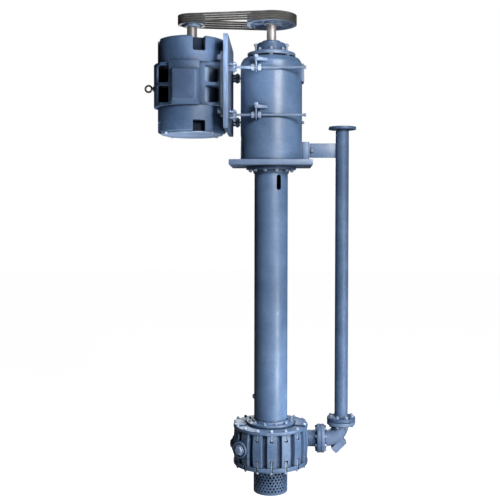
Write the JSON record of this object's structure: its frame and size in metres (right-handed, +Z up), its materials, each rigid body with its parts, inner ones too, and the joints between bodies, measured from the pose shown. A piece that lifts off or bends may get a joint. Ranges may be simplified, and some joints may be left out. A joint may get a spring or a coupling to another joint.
{
  "type": "vertical centrifugal slurry pump with a belt-driven motor",
  "caption": "Vertical slurry pump: motor beside a bearing housing, V-belt drive, long column, ribbed casing with strainer and a side discharge pipe.",
  "frame": {"origin": "on the underside of the soleplate, on the centre plane, in the strip between the column flange and the motor-side edge", "axes": "+Z up along the pump shaft, +X from the motor towards the discharge pipe, -Y is the pictured front"},
  "size_m": [1.3995, 0.6181, 3.127],
  "materials": {
    "blue_paint": "blue-grey machine enamel, satin, slightly worn",
    "stator_paint": "dark blue-grey paint inside the motor, dusty",
    "bare_steel": "turned bare steel, lightly dulled",
    "belt_rubber": "fabric-covered V-belt rubber, matt, dusty"
  },
  "bodies": {
    "root": {"adjusting_rod_lower_back": "blue_paint", "adjusting_rod_lower_front": "blue_paint", "adjusting_rod_upper_back": "blue_paint", "adjusting_rod_upper_front": "blue_paint", "bearing_cover": "blue_paint", "bearing_flange": "blue_paint", "bearing_housing": "blue_paint", "casing_body": "blue_paint", "casing_bottom_cover": "blue_paint", "casing_far_plug": "blue_paint", "casing_side_plug": "blue_paint", "casing_top_cover": "blue_paint", "column_base_flange": "blue_paint", "column_pipe": "blue_paint", "column_plug": "blue_paint", "column_top_flange": "blue_paint", "conduit_box": "blue_paint", "conduit_cover": "blue_paint", "discharge_elbow": "blue_paint", "discharge_pipe": "blue_paint", "housing_lug_lower_back": "blue_paint", "housing_lug_lower_front": "blue_paint", "housing_lug_upper_back": "blue_paint", "housing_lug_upper_front": "blue_paint", "motor_end_shield": "blue_paint", "motor_eyebolt": "blue_paint", "motor_foot_back": "blue_paint", "motor_foot_front": "blue_paint", "motor_frame": "blue_paint", "motor_lower_bell": "blue_paint", "motor_plate": "blue_paint", "motor_shaft_collar": "blue_paint", "motor_stator": "stator_paint", "motor_upper_bell": "blue_paint", "pipe_bracket_angle": "blue_paint", "pipe_bracket_bar": "blue_paint", "shaft_seal_ring": "blue_paint", "soleplate": "blue_paint", "strainer": "blue_paint", "v_belt_1": "belt_rubber", "v_belt_2": "belt_rubber", "v_belt_3": "belt_rubber", "v_belt_4": "belt_rubber"},
    "pump_rotor": {"pump_shaft": "bare_steel", "pump_sheave": "blue_paint"},
    "motor_rotor": {"motor_shaft": "bare_steel", "motor_sheave": "blue_paint"}
  },
  "joints": [
    {"name": "pump_spin", "type": "hinge", "parent": "root", "child": "pump_rotor", "pos_m": [0.215, 0, 0.95], "axis": [0, 0, 1], "continuous": true},
    {"name": "motor_spin", "type": "hinge", "parent": "root", "child": "motor_rotor", "pos_m": [-0.305, 0, 0.95], "axis": [0, 0, 1], "continuous": true}
  ],
  "couplings": [
    {"joint": "motor_spin", "follows": "pump_spin", "ratio": 1.8286}
  ]
}
